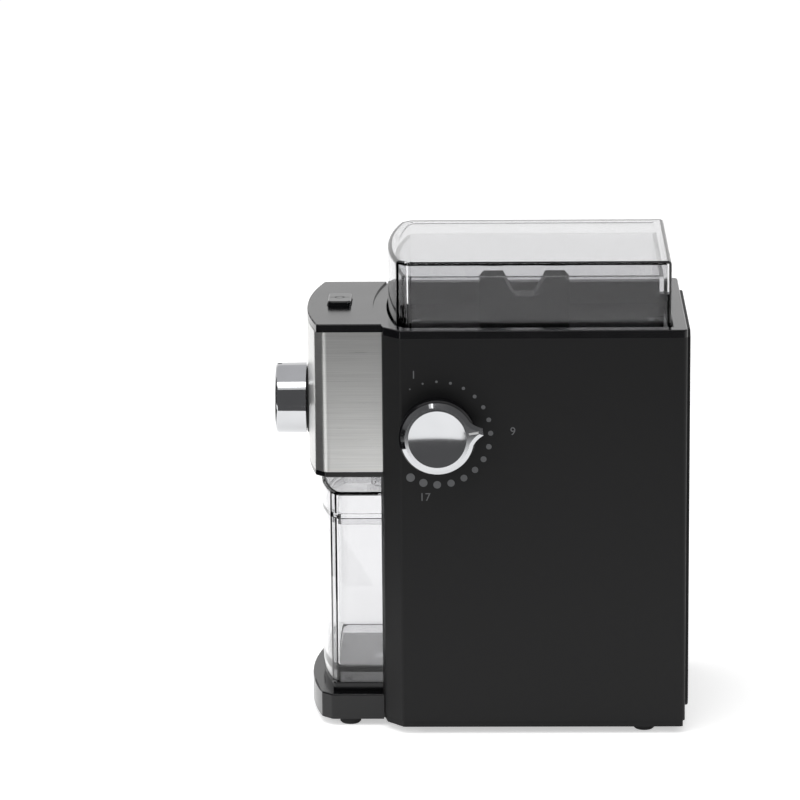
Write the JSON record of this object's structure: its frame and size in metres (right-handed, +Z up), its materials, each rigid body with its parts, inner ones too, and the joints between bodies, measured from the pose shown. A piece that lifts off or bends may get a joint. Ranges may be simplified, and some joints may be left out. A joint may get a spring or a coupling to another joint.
{
  "type": "burr coffee grinder",
  "caption": "Electric burr coffee grinder: boxy black body, clear hopper and lid, steel-faced head with portion knob and button, side grind dial, clear grounds container in its dock.",
  "frame": {"origin": "bottom centre of the whole box, on the table", "axes": "+Z up, -X towards the head and the portion knob, -Y towards the side with the grind dial"},
  "size_m": [0.2194, 0.1438, 0.2521],
  "materials": {
    "matte_black": "fine-textured black moulding",
    "gloss_black": "polished black moulding",
    "clear_plastic": "clear moulded plastic",
    "inner_plastic": "plain dark moulding inside the casing",
    "rubber": "matt black rubber",
    "brushed_steel": "sheet steel brushed along its length",
    "burr_steel": "hardened ground steel",
    "lamination": "stacked electrical sheet steel",
    "copper": "copper, wound or turned",
    "chrome": "bright chrome plate",
    "alloy": "die-cast alloy",
    "screw_steel": "zinc-plated steel",
    "spring_steel": "spring steel wire",
    "brass": "turned brass",
    "carbon": "pressed carbon",
    "board": "green coated circuit board",
    "board_parts": "moulded electrical parts",
    "grey_plastic": "light grey moulding inside the casing"
  },
  "bodies": {
    "body": {"rubber_feet": "rubber", "bottom_plate": "matte_black", "base_tray": "gloss_black", "base_plate": "gloss_black", "interlock_spring": "spring_steel", "interlock_switch": "board_parts", "body_casing": "matte_black", "dock_liner": "matte_black", "top_frame": "gloss_black", "hopper": "clear_plastic", "hopper_seal": "rubber", "grind_chamber": "inner_plastic", "chute": "inner_plastic", "motor_stator": "lamination", "stator_coils": "copper", "upper_bracket": "alloy", "lower_bracket": "alloy", "upper_bearing": "burr_steel", "lower_bearing": "burr_steel", "carbon_brushes": "carbon", "brush_holders": "brass", "motor_mounts": "rubber", "motor_screws": "screw_steel", "dial_bush": "inner_plastic", "head_shell": "inner_plastic", "steel_wrap": "brushed_steel", "head_cover": "gloss_black", "head_floor": "gloss_black", "button_spring": "spring_steel", "start_switch": "board_parts", "timer_unit": "grey_plastic", "portion_bezel": "gloss_black", "rear_cover": "matte_black", "cord_gland": "rubber", "circuit_board": "board", "board_parts": "board_parts", "case_screws": "screw_steel"},
    "rotor": {"motor_shaft": "burr_steel", "armature": "lamination", "commutator": "copper", "cooling_fan": "grey_plastic", "impeller_disc": "alloy", "lower_burr": "burr_steel", "lower_burr_screws": "screw_steel", "burr_nut": "screw_steel"},
    "burr_lift": {"lift_yoke": "alloy", "burr_carrier": "gloss_black", "upper_burr": "burr_steel", "upper_burr_screws": "screw_steel"},
    "dial": {"dial_knob": "chrome", "dial_skirt": "gloss_black", "dial_shaft": "grey_plastic", "dial_cam": "grey_plastic"},
    "portion": {"portion_knob": "chrome", "timer_shaft": "burr_steel"},
    "button": {"start_button": "gloss_black"},
    "interlock": {"interlock_pin": "gloss_black"},
    "container": {"container": "clear_plastic"},
    "container_lid": {"container_lid": "clear_plastic"},
    "hopper_lid": {"hopper_lid": "clear_plastic"}
  },
  "joints": [
    {"name": "hopper_lid_lift", "type": "slide", "parent": "body", "child": "hopper_lid", "axis": [0, 0, 1], "range_m": [0, 0.07]},
    {"name": "container_slide", "type": "slide", "parent": "body", "child": "container", "axis": [-1, 0, 0], "range_m": [0, 0.15]},
    {"name": "container_lid_lift", "type": "slide", "parent": "container", "child": "container_lid", "axis": [0, 0, 1], "range_m": [0, 0.009]},
    {"name": "grind_dial_turn", "type": "hinge", "parent": "body", "child": "dial", "pos_m": [-0.023, -0.06315, 0.1634], "axis": [0, -1, 0], "range_deg": [-130.5, 113.5]},
    {"name": "burr_lift_slide", "type": "slide", "parent": "body", "child": "burr_lift", "axis": [0, 0, 1], "range_m": [-0.0006, 0.0007]},
    {"name": "portion_knob_turn", "type": "hinge", "parent": "body", "child": "portion", "pos_m": [-0.1076, 0.00685, 0.167], "axis": [1, 0, 0], "range_deg": [0, 270]},
    {"name": "start_button_push", "type": "slide", "parent": "body", "child": "button", "axis": [0, 0, -1], "range_m": [0, 0.0025], "stiffness_N_per_m": 600, "springref_m": -0.001, "deforming": ["button_spring"]},
    {"name": "interlock_rise", "type": "slide", "parent": "body", "child": "interlock", "axis": [0, 0, 1], "range_m": [0, 0.0054], "deforming": ["interlock_spring"]},
    {"name": "rotor_spin", "type": "hinge", "parent": "body", "child": "rotor", "pos_m": [0.0224, 0.00685, 0.12], "axis": [0, 0, 1], "continuous": true}
  ],
  "couplings": [
    {"joint": "grind_dial_turn", "follows": "burr_lift_slide", "rad_per_m": -3275.8},
    {"joint": "interlock_rise", "follows": "container_slide", "ratio": 0.036}
  ]
}
